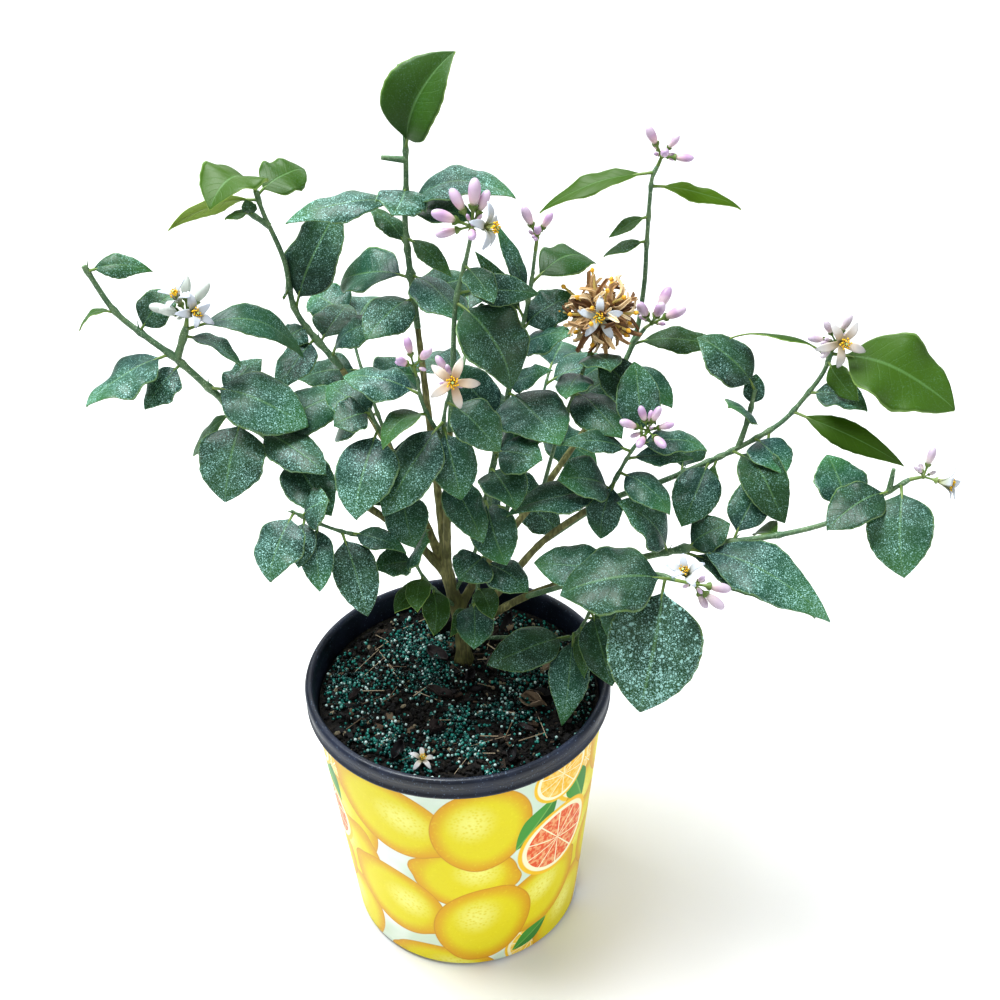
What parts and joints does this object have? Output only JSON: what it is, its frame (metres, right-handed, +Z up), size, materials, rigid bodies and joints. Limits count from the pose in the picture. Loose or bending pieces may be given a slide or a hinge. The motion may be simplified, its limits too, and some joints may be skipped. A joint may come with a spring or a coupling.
{
  "type": "potted lemon tree",
  "caption": "Young bushy lemon tree with leathery leaves, pink-tinged blossom and a spent flower head, growing in a tapered nursery pot with a lemon-print sleeve.",
  "frame": {"origin": "centre of the pot's flat underside", "axes": "+Z up along the pot's axis; -Y is the side that the plant's front and the viewer's side face; +X to the right of that view"},
  "size_m": [0.5118, 0.272, 0.5835],
  "materials": {
    "pot_plastic": "dark moulded nursery-pot plastic with a dull sheen",
    "sleeve_print": "thin printed sleeve with yellow lemons on pale green-white",
    "potting_mix": "damp bark-based potting mix with green fertiliser prills",
    "bark": "grey-green young bark, ridged",
    "leaf": "leathery citrus leaves, satin, speckled with pale residue",
    "petal": "soft white and pink-lilac petals and buds",
    "spent_blossom": "dry tan shrivelled petals"
  },
  "bodies": {
    "root": {"pot": "pot_plastic", "printed_sleeve": "sleeve_print", "potting_mix": "potting_mix", "trunk_and_limbs": "bark", "shoot_far_left": "leaf", "shoot_upper_left": "leaf", "shoot_top": "leaf", "shoot_centre_flowers": "leaf", "shoot_centre_back": "leaf", "shoot_spent_head": "leaf", "shoot_right_upright": "leaf", "shoot_mid_right": "leaf", "shoot_far_right": "leaf", "shoot_low_right": "leaf", "shoot_front_right": "leaf", "shoot_low_front": "leaf", "shoot_front_blossom": "leaf", "shoot_left_of_centre": "leaf", "shoot_right_of_centre": "leaf", "shoot_lower_left": "leaf", "shoot_under_left": "leaf", "shoot_under_centre": "leaf", "shoot_rear_left": "leaf", "shoot_rear_centre": "leaf", "shoot_rear_right": "leaf", "blossom_far_left": "petal", "blossom_centre_top": "petal", "blossom_centre_back": "petal", "blossom_right_top": "petal", "blossom_right_inner": "petal", "blossom_mid_right": "petal", "blossom_far_right": "petal", "blossom_low_right": "petal", "blossom_front_right": "petal", "blossom_front": "petal", "blossom_front_buds": "petal", "spent_blossom_head": "spent_blossom"}
  },
  "joints": []
}
